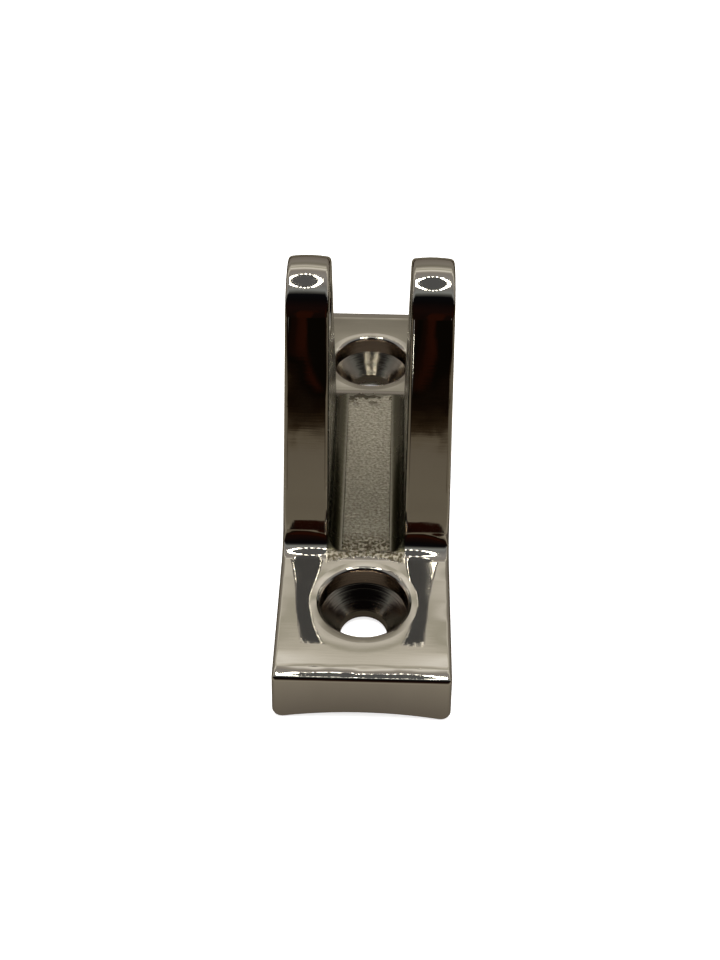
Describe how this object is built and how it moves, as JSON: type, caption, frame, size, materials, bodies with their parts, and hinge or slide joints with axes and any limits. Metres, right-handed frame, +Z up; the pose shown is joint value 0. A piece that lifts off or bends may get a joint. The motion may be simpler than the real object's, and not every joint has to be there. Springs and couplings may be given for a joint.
{
  "type": "deck hinge",
  "caption": "Polished cast deck hinge base: a low bar with countersunk screw holes and two upright ears for a clevis pin.",
  "frame": {"origin": "middle of the base bar, level with the two long edges that it rests on", "axes": "+X across the ears along the pin, +Y along the base bar, +Z up from the deck"},
  "size_m": [0.0192, 0.0648, 0.0366],
  "materials": {
    "polished_stainless": "cast stainless steel polished to a mirror all over, with fine turned rings in the screw recesses; the slot floor between the ears is left rough as cast"
  },
  "bodies": {
    "root": {"hinge_base": "polished_stainless"}
  },
  "joints": []
}
